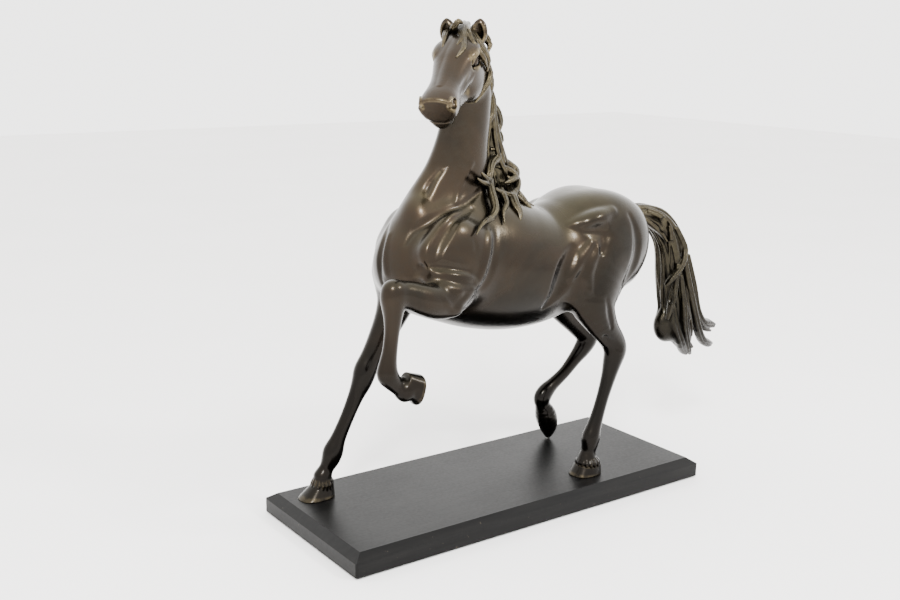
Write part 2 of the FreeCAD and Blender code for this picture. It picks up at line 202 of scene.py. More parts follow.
def lock(clay, stations, side, threads=3):
    """Lays a lock of hair, threads side by side: stations are x, y, z, half width, half depth."""
    spine = eased(stations, 3)
    runs = np.gradient(spine[:, :3], axis=0)
    runs /= np.linalg.norm(runs, axis=1, keepdims=True)
    side = np.asarray(side, float)
    across = side - runs * (runs @ side)[:, None]
    across /= np.maximum(np.linalg.norm(across, axis=1, keepdims=True), 1e-6)
    for k in range(threads):
        place = (k + 0.5) / threads * 2 - 1
        thread = spine.copy()
        thread[:, :3] += across * (place * spine[:, 3] * 0.8)[:, None]
        thread[:, 3] *= 1.2 / threads
        thread[:, 4] *= 1 - 0.25 * place * place + (0.12 if k % 2 else 0)
        limb(clay, thread, STRAND_BLEND, side=side, steps=1)


def even(clay, width):
    """Smooths the field over about a width, which takes out the joints between rods."""
    passes = max(1, round(2 * (width / clay.step) ** 2))
    for _ in range(passes):
        for axis in range(3):
            f = np.moveaxis(clay.field, axis, 0)
            middle = f[1:-1] * 0.5
            middle += f[:-2] * 0.25
            middle += f[2:] * 0.25
            f[1:-1] = middle


def shave(clay, point, normal, blend, reach):
    """Planes off what stands outside a plane, within reach of a point on it."""
    window = clay.window(point, reach)
    if window is not None:
        clay.cut(window, -clay.reading(window, np.asarray(point, float), unit(normal)), blend)


def stroke(clay, points, depth):
    """Draws a soft groove along points of x, y, z, half width, or a ridge where depth is negative."""
    spine = eased(points, 4)
    widest = spine[:, 3].max()
    window = clay.window(spine[:, :3], widest)
    if window is None:
        return
    effect = np.zeros([s.stop - s.start for s in window], np.float32)
    for a, b in zip(spine[:-1], spine[1:]):
        sub = clay.window(np.array([a[:3], b[:3]]), max(a[3], b[3]))
        if sub is None:
            continue
        run = b[:3] - a[:3]
        length = np.linalg.norm(run)
        side = unit(np.cross(run, (0.31, 0.52, 0.79)))
        w = clay.reading(sub, a[:3], run / length)
        t = np.clip(w / length, 0, 1)
        u = clay.reading(sub, a[:3], side)
        v = clay.reading(sub, a[:3], np.cross(run / length, side))
        width = np.maximum(a[3] + (b[3] - a[3]) * t, 0.05)
        near = np.clip(1 - (u * u + v * v + (w - t * length) ** 2) / width**2, 0, 1)
        at = inner(window, sub)
        effect[at] = np.maximum(effect[at], near * near * (width / widest))
    clay.field[window] += effect * depth


def hoof(clay, sole, up, toe, sizes, blend):
    """Lays a hoof: an oval block from its flat sole up to the coronet, leaning back, narrower above."""
    squareness = 2.4
    length, width, height, lean, taper = sizes
    sole, up = np.asarray(sole, float), unit(up)
    toe = unit(np.asarray(toe, float) - up * (up @ np.asarray(toe, float)))
    window = clay.window(sole + up * height / 2, max(length, width, height) + blend + 3)
    if window is None:
        return
    h = clay.reading(window, sole, up)
    a = clay.reading(window, sole, toe) + h * lean
    b = clay.reading(window, sole, np.cross(up, toe))
    shrink = 1 - np.clip(h, 0, height) / height * taper
    ra, rb = length * shrink, width * shrink
    round_sum = (np.abs(a) / ra) ** squareness + (np.abs(b) / rb) ** squareness
    wall = (round_sum ** (1 / squareness) - 1) * np.minimum(ra, rb)
    block = -soft_min(-wall, soft_min(h, height - h, 1.0), 1.2)
    clay.merge(window, block, blend)


# ---- from clay to meshes


def sample(clay, points):
    """The field and its slope at points, read between the samples."""
    local = (points - clay.start) @ clay.axes.T / clay.step
    cell = np.clip(np.floor(local).astype(int), 0, clay.counts - 2)
    f = np.clip(local - cell, 0, 1)
    corner = np.empty((2, 2, 2, len(points)), np.float32)
    for i in (0, 1):
        for j in (0, 1):
            for k in (0, 1):
                corner[i, j, k] = clay.field[cell[:, 0] + i, cell[:, 1] + j, cell[:, 2] + k]
    x, y, z = f.T
    yz = (corner[:, 0] * (1 - y) + corner[:, 1] * y)
    xz = (corner[0] * (1 - x) + corner[1] * x)
    value = (yz[0, 0] * (1 - z) + yz[0, 1] * z) * (1 - x) + (yz[1, 0] * (1 - z) + yz[1, 1] * z) * x
    gx = (yz[1, 0] - yz[0, 0]) * (1 - z) + (yz[1, 1] - yz[0, 1]) * z
    gy = (xz[1, 0] - xz[0, 0]) * (1 - z) + (xz[1, 1] - xz[0, 1]) * z
    gz = (yz[0, 1] - yz[0, 0]) * (1 - x) + (yz[1, 1] - yz[1, 0]) * x
    return value, np.stack([gx, gy, gz], 1) / clay.step @ clay.axes


def smooth_slope(clay, points):
    """The field's direction at points, evened over a sample's width."""
    total = np.zeros((len(points), 3))
    for offset in ((0.6, 0, 0), (-0.6, 0, 0), (0, 0.6, 0), (0, -0.6, 0), (0, 0, 0.6), (0, 0, -0.6)):
        total += sample(clay, points + np.array(offset) * clay.step)[1]
    return total / np.maximum(np.linalg.norm(total, axis=1, keepdims=True), 1e-9)


def skin(clay):
    """The surface as points and quads, one point for each cell that it passes through."""
    f = clay.field
    for axis in range(3):
        edge = np.moveaxis(f, axis, 0)
        edge[0] = edge[-1] = FAR
    inside = f < 0
    count = sum(
        inside[i : i + f.shape[0] - 1, j : j + f.shape[1] - 1, k : k + f.shape[2] - 1].astype(np.uint8)
        for i in (0, 1) for j in (0, 1) for k in (0, 1)
    )
    mixed = (count > 0) & (count < 8)
    cells = np.argwhere(mixed)
    index = np.full(mixed.shape, -1, np.int32)
    index[mixed] = np.arange(len(cells))
    total, hits = np.zeros((len(cells), 3)), np.zeros(len(cells))
    for axis in range(3):
        along = np.eye(3, dtype=int)[axis]
        others = [np.eye(3, dtype=int)[a] for a in range(3) if a != axis]
        for i in (0, 1):
            for j in (0, 1):
                offset = others[0] * i + others[1] * j
                a, b = f[tuple((cells + offset).T)], f[tuple((cells + offset + along).T)]
                crossed = (a < 0) != (b < 0)
                t = np.where(crossed, a / np.where(crossed, a - b, 1), 0)
                total += (offset + along * t[:, None]) * crossed[:, None]
                hits += crossed
    points = (cells + total / hits[:, None]) * clay.step @ clay.axes + clay.start
    value, slope = sample(clay, points)
    square = np.maximum((slope**2).sum(1), 0.25)
    points -= slope * (np.clip(value, -0.5 * clay.step, 0.5 * clay.step) / square)[:, None]

    quads = []
    for axis in range(3):
        u, v = [np.eye(3, dtype=int)[a] for a in ((axis + 1) % 3, (axis + 2) % 3)]
        first = np.moveaxis(inside, axis, 0)
        change = np.moveaxis(first[:-1] != first[1:], 0, axis)
        nodes = np.argwhere(change)
        nodes = nodes[(nodes @ u > 0) & (nodes @ v > 0)]
        nodes = nodes[(nodes @ u < (index.shape @ u)) & (nodes @ v < (index.shape @ v))]
        ring = [index[tuple((nodes - s).T)] for s in (0 * u, u, u + v, v)]
        quad = np.stack(ring, 1)
        leaving = inside[tuple(nodes.T)]
        quad[~leaving] = quad[~leaving][:, ::-1]
        quads.append(quad)
    return points, np.vstack(quads)


# How far out a neighbour shelters the surface, which sets the painted shade in hollows, and how thin an edge
# has to be to be rubbed.
SHELTER_REACH, WORN_REACH = 3.5, 3.0

# Where two castings are welded: a point in the limb, the way out, and the limb's reach round the point.
SEAMS = [
    ("torso", "neck", (-56, -1, 290), (0.15, -0.05, 1), 52),
    ("neck", "head", (-46, -13, 381), (-0.66, -0.5, 0.56), 48),
    ("torso", "left_fore_upper", (-117, -55, 202), (-1, 0, 0.15), 20),
    ("left_fore_upper", "left_fore_lower", (-150, -56, 208), (-0.72, 0, -0.7), 22),
    ("torso", "right_fore_upper", (-93, 39, 160), (-0.4, 0, -0.92), 22),
    ("right_fore_upper", "right_fore_lower", (-118, 42, 115), (-0.4, 0, -0.92), 20),
    ("torso", "left_hind_upper", (92, -49, 152), (0.5, 0, -0.87), 26),
    ("left_hind_upper", "left_hind_lower", (108, -50, 122), (0.3, 0, -0.95), 26),
    ("torso", "right_hind_upper", (118, 44, 150), (0.65, 0, -0.76), 28),
    ("right_hind_upper", "right_hind_lower", (160, 46, 105), (0.35, 0, -0.94), 24),
]


def part(bm, point, normal, reach, outward):
    """Cuts a mesh at a seam, keeps its outward side or all but that, and closes the cut."""
    point, normal = Vector(point), Vector(normal).normalized()
    near = [face for face in bm.faces if (face.verts[0].co - point).length < reach]
    edges = {edge for face in near for edge in face.edges}
    corners = {vert for face in near for vert in face.verts}
    cut = list(corners) + list(edges) + near
    bmesh.ops.bisect_plane(bm, geom=cut, dist=1e-5, plane_co=point, plane_no=normal)
    seed_at = point + normal * 4
    bm.faces.ensure_lookup_table()
    beyond = [f for f in bm.faces if (f.calc_center_median() - point).dot(normal) > 1e-4]
    seed = min(beyond, key=lambda f: (f.calc_center_median() - seed_at).length)
    limb_side, todo = {seed}, [seed]
    allowed = set(beyond)
    while todo:
        for edge in todo.pop().edges:
            for other in edge.link_faces:
                if other not in limb_side and other in allowed:
                    limb_side.add(other)
                    todo.append(other)
    drop = [f for f in bm.faces if (f in limb_side) != outward]
    bmesh.ops.delete(bm, geom=drop, context="FACES")
    rim = [edge for edge in bm.edges if edge.is_boundary]
    bmesh.ops.triangle_fill(bm, edges=rim, use_beauty=True, normal=normal * (-1 if outward else 1))


def drop_islands(bm):
    """Leaves only the largest connected piece."""
    left, best = set(bm.faces), []
    while left:
        seed = left.pop()
        island, todo = [seed], [seed]
        while todo:
            for edge in todo.pop().edges:
                for other in edge.link_faces:
                    if other in left:
                        left.discard(other)
                        island.append(other)
                        todo.append(other)
        if len(island) > len(best):
            best = island
    keep = set(best)
    bmesh.ops.delete(bm, geom=[f for f in bm.faces if f not in keep], context="FACES")


def add_object(name, data):
    made = bpy.data.objects.new(name, data)
    bpy.context.scene.collection.objects.link(made)
    return made


def mark_shade_and_wear(mesh, clay, places, slopes):
    """Keeps how sheltered and how worn each point is, for the finish: the shelter paints shade into hollows,
    the wear brightens edges.
    """
    shelter = 1 - np.clip(sample(clay, places + slopes * SHELTER_REACH)[0] / SHELTER_REACH, -0.2, 1)
    worn = 1 + np.clip(sample(clay, places - slopes * WORN_REACH)[0] / WORN_REACH, -1, 0)
    for kind, values in (("shelter", shelter), ("worn", worn)):
        data = mesh.attributes.new(kind, "FLOAT", "POINT").data
        data.foreach_set("value", values.astype(np.float32))


def corner_normals(mesh, slopes):
    """The clay's own direction at each face corner, but the face's on the flat caps of cuts."""
    loops = np.empty(len(mesh.loops), np.int64)
    mesh.loops.foreach_get("vertex_index", loops)
    face_of = np.repeat(np.arange(len(mesh.polygons)), [p.loop_total for p in mesh.polygons])
    flat = np.empty(len(mesh.polygons) * 3)
    mesh.polygons.foreach_get("normal", flat)
    flat = flat.reshape(-1, 3)[face_of]
    normals = slopes[loops]
    capped = (normals * flat).sum(1) < 0.25
    normals[capped] = flat[capped]
    return normals


def bronze_mesh(name, clay):
    """A closed mesh object from clay, parted from its neighbours at their seams."""
    points, quads = skin(clay)
    mesh = bpy.data.meshes.new(f"{name}_bronze")
    mesh.from_pydata(points.tolist(), [], quads.tolist())
    bm = bmesh.new()
    bm.from_mesh(mesh)
    for inner_one, outer_one, *place in SEAMS:
        if name in (inner_one, outer_one):
            part(bm, *place, outward=name == outer_one)
    drop_islands(bm)
    bmesh.ops.dissolve_degenerate(bm, edges=bm.edges[:], dist=1e-4)
    bmesh.ops.recalc_face_normals(bm, faces=bm.faces[:])
    bm.to_mesh(mesh)
    bm.free()

    places = np.empty(len(mesh.vertices) * 3)
    mesh.vertices.foreach_get("co", places)
    places = places.reshape(-1, 3)
    slopes = smooth_slope(clay, places)
    mark_shade_and_wear(mesh, clay, places, slopes)
    normals = corner_normals(mesh, slopes)
    places = (places + (0, 0, LIFT)) * MM
    mesh.vertices.foreach_set("co", places.ravel())
    mesh.polygons.foreach_set("use_smooth", np.ones(len(mesh.polygons), bool))
    mesh.update()
    mesh.normals_split_custom_set(normals.tolist())
    return add_object(mesh.name, mesh)


# ---- the horse

# The head's own place and axes: down the face, to its right, and out of the forehead.
POLL = np.array([-48, -10, 412])
ALONG = unit((-65, -52, -47))
ACROSS = unit(np.cross(ALONG, (0, 0, 1)))
UPWARD = np.cross(ACROSS, ALONG)
HEAD_AXES = np.array([ALONG, ACROSS, UPWARD])

# Stations down the middle of each limb: x, y, z, half side, half front.
TORSO = [
    (-97, 0, 218, 27, 34), (-86, 0, 219, 39, 45), (-60, 0, 219, 48, 55), (-25, 0, 216, 53, 63),
    (10, 0, 208, 54, 61), (45, 0, 205, 53, 55), (75, 0, 217, 49, 50), (100, 0, 225, 47, 49),
    (128, 0, 224, 43, 41), (144, 0, 222, 35, 32),
]
NECK = [
    (-66, 0, 236, 36, 46), (-60, 0, 256, 31, 46), (-54, -1, 278, 23, 40), (-50, -3, 300, 19, 32),
    (-47, -6, 325, 16.5, 26.5), (-45, -9, 350, 15, 24), (-44, -11, 372, 14.5, 22), (-44, -12, 392, 13, 18),
]
LEFT_FORE = [
    (-78, -44, 205, 15, 20), (-92, -50, 199, 14, 18), (-106, -54, 198, 12.5, 15.5),
    (-120, -56, 202, 11.5, 13.8),
    (-136, -56, 208, 10, 12), (-147, -56, 210, 9.5, 11.5),
]
LEFT_SHANK = [
    (-151, -56, 213, 10, 10), (-151, -56, 202, 9.8, 10), (-151, -56, 191, 7.8, 8.2),
    (-152, -56, 178, 6.2, 6.8),
    (-154, -56, 162, 6.2, 6.8), (-156, -56, 150, 7.2, 8.4), (-156, -56, 142, 8.4, 9.6),
    (-149, -56, 133, 7, 7.6),
    (-144, -56, 129, 7, 7.6), (-139, -56, 126, 9.5, 9.5),
]
RIGHT_FORE = [
    (-88, 30, 208, 19, 26), (-86, 36, 184, 15, 21), (-93, 39, 162, 12.5, 15.5), (-104, 41, 140, 10.5, 12),
    (-112, 42, 126, 9.4, 10.6), (-118, 42, 115, 10, 11.4), (-122, 42, 104, 9, 10), (-128, 43, 91, 7, 7.8),
    (-137, 43, 73, 6.3, 6.8), (-146, 44, 54, 6.8, 7.4), (-151, 45, 42, 8.6, 10), (-154, 45, 34, 8, 9),
    (-158, 46, 26, 6.6, 7), (-162, 46, 19, 8.5, 9),
]
LEFT_HIND = [
    (106, -30, 214, 24, 38), (90, -40, 192, 20, 32), (82, -46, 173, 16, 25), (88, -49, 157, 12.5, 18.5),
    (98, -50, 142, 9.8, 14), (107, -50, 130, 9, 13), (110, -50, 121, 9.5, 12.5), (107, -50, 110, 8.8, 10),
    (103, -50, 96, 7, 8), (97, -50, 78, 6, 6.8), (91, -50, 60, 6.2, 6.8), (86, -50, 46, 7.2, 8.2),
    (83, -50, 37, 8.6, 9.8), (82, -50, 29, 7.6, 8.4), (81, -49, 22, 6.8, 7.6), (80, -49, 17, 9, 9.4),
]
RIGHT_HIND = [
    (116, 30, 206, 24, 36), (110, 40, 180, 19, 30), (113, 44, 160, 14, 21), (126, 45, 141, 11, 15.5),
    (142, 46, 125, 9.5, 12.5), (155, 46, 114, 9.3, 12.5), (163, 46, 105, 9.5, 12), (156, 46, 94, 8.8, 10),
    (146, 47, 83, 7, 7.8), (132, 47, 70, 6, 6.8), (118, 48, 60, 6.6, 7.2), (108, 48, 53, 8, 9.2),
    (103, 48, 46, 8.4, 9.6), (104, 48, 38, 7, 7.6), (106, 48, 32, 7, 7.6), (108, 48, 27, 9, 9.4),
]

# The head's stations: s, b, h from the poll, half side, half front.
HEAD = [
    (-6, 0, -2, 11, 12), (6, 0, -1, 15.5, 15), (20, 0, 0, 18, 16.5), (34, 0, -1, 18.5, 16.5),
    (46, 0, -1.5, 16.5, 14.5), (58, 0, -2, 14.5, 13), (72, 0, -3, 13.5, 12.5), (84, 0, -4.5, 14.5, 13.5),
    (93, 0, -5.5, 16, 14.5), (99, 0, -6, 15.5, 14),
]


def face(s, b, h):
    """A place on the head: s down the face from the poll, b to its right, h out of the forehead."""
    return POLL + ALONG * s + ACROSS * b + UPWARD * h


def facial(points):
    """Head places of s, b, h, size... as horse places."""
    return [(*face(*p[:3]), *p[3:]) for p in points]


def lay_torso(clay):
    limb(clay, TORSO, 0, steps=7, spread=26)
    for y in (-1, 1):
        blob(clay, (-101, 18 * y, 216), (18, 18, 25), 12)
        blob(clay, (-71, 41 * y, 226), (28, 13, 33), 16)
        blob(clay, (-78, 37 * y, 242), (20, 12, 22), 12)
        blob(clay, (112, 22 * y, 236), (46, 29, 35), 18)
        blob(clay, (132, 23 * y, 214), (30, 24, 38), 16)
        blob(clay, (82, 44 * y, 248), (13, 7, 7), 8, along=(1, 0, 0.25))
    limb(clay, [(-96, -36, 236, 14, 18), (-90, -43, 214, 13, 18), (-84, -46, 200, 12, 15)], 10)
    limb(clay, [(-93, 33, 232, 13, 15), (-90, 37, 212, 14, 18), (-86, 38, 196, 13, 18)], 10)
    blob(clay, (-14, 0, 268), (26, 12, 12), 10)


# Grooves, or ridges where the depth is negative, each along points of x, y, z, half width.
MUSCLES = [
    # neck and throat
    (2.2, [(-38, -22, 284, 3), (-60, -29, 274, 4.5), (-80, -31, 270, 5), (-94, -28, 263, 5),
           (-107, -21, 254, 4),
           (-115, -20, 243, 2.5)]),
    (4.0, [(-53, -31, 271, 3), (-78, -41, 264, 5), (-91, -46, 255, 6.5), (-101, -48, 244, 7),
           (-105, -50, 235, 6),
           (-102, -53, 229, 5), (-95, -54, 228, 3)]),
    (-2.8, [(-62, -31, 274, 3), (-80, -36, 267, 5), (-96, -38, 257, 6), (-108, -41, 244, 6.5),
            (-111, -44, 232, 5),
            (-108, -49, 224, 3)]),
    (-1.4, [(-47, -22, 309, 2.5), (-58, -22, 292, 3), (-68, -27, 277, 2.5)]),
    (-2.8, [(-66, -17, 306, 3), (-73, -17, 298, 5), (-80, -17, 290, 6), (-86, -17, 280, 4)]),
    (2.2, [(-74, -12, 300, 4), (-84, -10, 288, 6), (-92, -10, 274, 5), (-100, -10, 262, 3)]),
    # shoulder, elbow and upper arm
    (-2.0, [(-39, -43, 267, 3), (-48, -51, 242, 5), (-54, -55, 226, 5), (-63, -56, 209, 5),
            (-82, -62, 197, 4.5),
            (-93, -62, 189, 3)]),
    (2.8, [(-32, -44, 264, 3), (-41, -52, 240, 5), (-47, -56, 224, 5.5), (-55, -57, 206, 5.5),
           (-73, -61, 193, 4)]),
    (1.3, [(-55, -49, 261, 2), (-65, -55, 253, 2.6), (-65, -55, 238, 2)]),
    (-2.0, [(-118, -28, 216, 3), (-107, -49, 220, 4), (-92, -57, 220, 4.5), (-67, -57, 213, 3)]),
    (2.4, [(-113, -38, 227, 3), (-97, -55, 227, 4.5), (-74, -57, 222, 3)]),
    (-1.8, [(-111, -43, 215, 3), (-102, -56, 213, 4), (-90, -62, 208, 4), (-72, -60, 206, 3)]),
    (-1.6, [(-111, -46, 212, 2.5), (-106, -64, 202, 3), (-96, -64, 191, 3)]),
    # breast
    (2.8, [(-112, 14, 254, 4), (-119, 8, 244, 5), (-123, 6, 228, 6), (-120, 4, 206, 5)]),
    (-1.6, [(-118, 2, 248, 3), (-125, -1, 232, 4), (-125, -5, 216, 4)]),
    # hip, flank and stifle
    (-4.6, [(58, -36, 247, 4), (70, -42, 252, 8), (84, -46, 256, 8), (102, -45, 258, 5)]),
    (6.5, [(68, -48, 242, 4), (80, -52, 242, 9), (88, -54, 236, 9), (83, -54, 224, 6)]),
    (-4.6, [(92, -54, 240, 4), (89, -56, 232, 6), (80, -54, 226, 4)]),
    (-4.2, [(72, -50, 230, 4), (61, -52, 219, 7), (53, -53, 210, 6), (46, -53, 201, 4)]),
    (-4.2, [(77, -53, 222, 4), (69, -54, 212, 6), (65, -55, 202, 6), (65, -57, 188, 5)]),
    (6.0, [(52, -50, 228, 5), (41, -53, 213, 11), (35, -53, 199, 12), (28, -50, 186, 7),
           (20, -44, 175, 3)]),
    (-2.0, [(42, -45, 180, 3), (54, -47, 176, 4), (65, -50, 162, 4), (79, -52, 144, 4), (93, -53, 130, 3)]),
    # thigh, loin and buttock
    (1.8, [(84, -58, 178, 4), (89, -59, 162, 5), (94, -59, 148, 3)]),
    (2.2, [(88, -57, 140, 3), (100, -60, 130, 5), (108, -61, 124, 3)]),
    (1.8, [(10, -53, 262, 3), (40, -51, 262, 7), (62, -42, 262, 4)]),
    (2.2, [(122, -46, 252, 4), (129, -50, 226, 8), (124, -53, 200, 8), (110, -56, 178, 5)]),
]
# The broad ones, which the far side repeats.
FAR_MUSCLES = [6, 7, 15, 16, 18, 20, 21, 22, 24, 25]


def lay_muscles(clay):
    """Presses the grooves and raises the ridges, which are broader and lower."""
    far = [(MUSCLES[i][0], [(x, -y, z, width) for x, y, z, width in MUSCLES[i][1]]) for i in FAR_MUSCLES]
    for depth, points in MUSCLES + far:
        broader, lower = (1.4, 0.8) if depth < 0 else (1.15, 1)
        stroke(clay, [(x, y, z, width * broader) for x, y, z, width in points], depth * lower)
    blob(clay, (-88, -59, 205), (4, 4, 4), 3)
    blob(clay, (-91, -60, 190), (7, 5, 5), 5)


def lay_legs(clay):
    limb(clay, NECK, 16, steps=6, spread=16)
    limb(clay, LEFT_FORE, 7)
    limb(clay, RIGHT_FORE, 9)
    limb(clay, LEFT_HIND, 14)
    limb(clay, RIGHT_HIND, 14)
    limb(clay, LEFT_SHANK, 4)
    blob(clay, (-153, -56, 208), (8, 8.5, 9), 4)


def coronet(clay, middle, radius, drop):
    """Short hairs combed down all round the top of a hoof."""
    tufts = 16
    for i in range(tufts):
        turn = 2 * math.pi * i / tufts
        out = np.array([math.cos(turn), math.sin(turn), 0])
        top = middle + out * radius * 0.72
        low = middle + out * radius * 1.06 - (0, 0, drop)
        belly = top * 0.45 + low * 0.55 + out
        limb(clay, [(*top, 1.1, 1.1), (*belly, 1.7, 1.7), (*low, 0.9, 0.9)], 0.8, steps=2)


def lay_hooves(clay):
    hoof(clay, (-126, -56, 124), (-0.95, 0, 0.28), (0.28, 0, -0.95), (13.5, 12.5, 15, 0.35, 0.38), 5)
    blob(clay, (-140, -56, 126), (6, 9.5, 9), 4)
    hoof(clay, (-169, 46, 0), (0, 0, 1), (-1, 0, 0), (17.5, 14, 15, 0.55, 0.5), 5)
    coronet(clay, (-163, 46, 18), 9, 10)
    hoof(clay, (79, -48, 0), (0, 0, 1), (-1, 0, 0), (16.5, 14, 10, 0.3, 0.2), 2)
    blob(clay, (81, -49, 13), (12, 11.5, 4.5), 3)
    coronet(clay, (81, -49, 17), 10.5, 7)
    limb(clay, [(105, 48, 36, 8, 8), (109, 48, 27, 11.5, 11), (112, 48, 17, 11, 10), (113, 48, 8, 7, 6),
                (113, 48, 3, 3.4, 3), (113, 48, 2, 2, 2)], 2)
    stroke(clay, [(98, 38, 31, 1.6), (104, 36, 29, 2), (112, 36, 29, 2), (119, 40, 30, 1.6)], 1.3)


def head_blob(clay, place, radii, blend, cut=False):
    blob(clay, face(*place), radii, blend, along=ALONG, side=ACROSS, cut=cut)


def head_limb(clay, stations, blend, cut=False):
    limb(clay, facial(stations), blend, side=ACROSS, cut=cut)


def lay_head(clay):
    for b in (-1, 1):
        head_blob(clay, (28, 11.5 * b, -18), (22, 9.5, 18), 8)
        head_limb(clay, [(34, 7 * b, -27, 5, 6), (60, 6 * b, -20, 5, 6), (84, 5 * b, -15, 5, 5)], 7)
        head_blob(clay, (29, 15 * b, 8), (11, 5, 4.5), 5)
        head_blob(clay, (34, 17 * b, 2), (9, 4.5, 5.5), 3, cut=True)
        head_blob(clay, (33, 15.6 * b, 2), (5.2, 4, 4.4), 0.8)
        upper_lid = [(26, 18 * b, 3, 1.2, 1.4), (30, 19 * b, 7, 1.6, 1.8), (36, 18.2 * b, 7, 1.4, 1.6),
                     (41, 16 * b, 3, 1, 1.2)]
        lower_lid = [(28, 18.4 * b, -3, 1, 1.2), (33, 18.6 * b, -4, 1.2, 1.4), (39, 16.6 * b, -2, 1, 1.2)]
        for lid in (upper_lid, lower_lid):
            head_limb(clay, lid, 1.2)
        stroke(clay, facial([(42, 12.5 * b, 3, 3), (58, 11 * b, -1, 5), (76, 11.5 * b, -3, 5)]), 1.2)
        stroke(clay, facial([(44, 15.5 * b, -5, 3), (58, 13 * b, -8, 5), (68, 12 * b, -9, 3)]), -1.6)
        head_blob(clay, (98, 11 * b, -1), (6, 4.5, 5.5), 3)
        ear = [(5, 11 * b, 2, 6, 5.5), (3, 13 * b, 8, 7.6, 5), (1, 14 * b, 13, 7.2, 4.4),
               (-1, 14.6 * b, 17, 5.2, 3.4), (-2, 14.8 * b, 19.5, 2.4, 2)]
        head_limb(clay, ear, 3)
        cup = [(9.5, 12 * b, 6, 3, 3), (8, 13.2 * b, 10.5, 5.6, 4.6), (5.6, 14 * b, 14.5, 4.6, 3.8),
               (3.2, 14.5 * b, 17.5, 2.2, 2)]
        head_limb(clay, cup, 0.8, cut=True)
    head_blob(clay, (91, 0, -20), (8, 9.5, 6.5), 4)
    shave(clay, face(101, 0, -5), ALONG - UPWARD * 0.2, 2.2, 30)
    stroke(clay, facial([(20, 0, 14, 4), (45, 0, 13, 6), (66, 0, 9, 6), (84, 0, 8, 4)]), -1.3)
    lips = [(78, -13.4, -11, 1.6), (90, -14, -15, 2.2), (99, -9, -17, 2.4), (100.5, 0, -17.5, 2.4),
            (99, 9, -17, 2.4), (90, 14, -15, 2.2), (78, 13.4, -11, 1.6)]
    stroke(clay, facial(lips), 2.6)
    for b in (-1, 1):
        shave(clay, face(98, 12 * b, -15), ALONG * 0.35 + ACROSS * b * 0.75 - UPWARD * 0.55, 4, 17)
        nostril = face(97.5, 14.5 * b, 0.5)
        blob(clay, nostril, (4.4, 3.6, 3.2), 0.8, along=ALONG - UPWARD * 0.6, side=ACROSS, cut=True)
        rim = [(92, 15 * b, 1, 1.4), (95, 15 * b, 5.4, 1.9), (100, 13 * b, 5.4, 1.9),
               (101.5, 11.4 * b, 0.5, 1.6)]
        stroke(clay, facial(rim), -1.5)


def lay_horse(clay):
    lay_torso(clay)
    lay_legs(clay)
    limb(clay, facial(HEAD), 9, side=ACROSS, steps=4, power=2.5)
    blob(clay, (-95, -8, 264), (11, 13, 15), 10)
    even(clay, 1.5)
    lay_muscles(clay)
    even(clay, 0.7)
    lay_hooves(clay)
    lay_head(clay)


# ---- hair

# The way each side's locks are broad.
NEAR_BROAD, FAR_BROAD, TAIL_BROAD = (1, 0, 0.2), (1, 0, -0.2), (1, 0, 0.15)
TOP_BROAD, EAR_BROAD = (1, -1, 0), (0.6, 0.2, 1)
# Locks, each along stations of x, y, z, half width, half depth.
TOP_HAIR = [
    [(-52, -8, 424, 5, 4), (-59, -20, 421, 5, 3.4), (-65, -31, 414, 3.4, 2.4), (-72, -40, 407, 2.6, 2),
     (-82, -44, 400, 0.8, 0.8)],
    [(-50, -12, 425, 4, 4), (-57, -26, 420, 4, 3), (-60, -35, 413, 3, 2.4), (-58, -41, 406, 2.6, 2.2),
     (-52, -42, 399, 2.4, 2.2), (-46, -38, 392, 1, 1)],
    [(-50, -20, 422, 3, 3), (-54, -33, 413, 3, 2.6), (-48, -36, 405, 3, 2.6), (-42, -35, 397, 2.6, 2.4),
     (-41, -32, 388, 1, 1)],
    [(-50, -24, 420, 2.6, 2.6), (-49, -34, 410, 2.6, 2.4), (-42, -34, 402, 2, 2),
     (-38, -31, 395, 0.8, 0.8)],
    [(-44, -14, 424, 4, 4), (-36, -20, 417, 4, 4), (-32, -23, 411, 2.6, 2.6), (-36, -27, 404, 1, 1)],
    [(-46, -4, 424, 5, 4), (-60, -10, 424, 4, 3.6), (-66, -17, 424, 3, 3), (-64, -21, 429, 2.4, 2.4),
     (-60, -21, 428, 1.4, 1.4)],
    [(-50, 0, 420, 4, 4), (-64, -6, 420, 3.4, 3), (-74, -16, 416, 2.6, 2.2), (-82, -24, 408, 0.8, 0.8)],
    [(-48, -8, 427, 6, 3), (-56, -18, 424, 5, 3), (-64, -28, 417, 3, 2.4), (-74, -34, 410, 1, 1)],
]
CREST = [
    (-42, -8, 414, 7, 8), (-30, -4, 402, 7, 7), (-24, -2, 386, 7, 7), (-19, 0, 362, 8, 7),
    (-13, 1, 338, 9, 9),
    (-7, 2, 312, 11, 11), (0, 2, 290, 12, 12), (6, 3, 268, 7, 7),
]
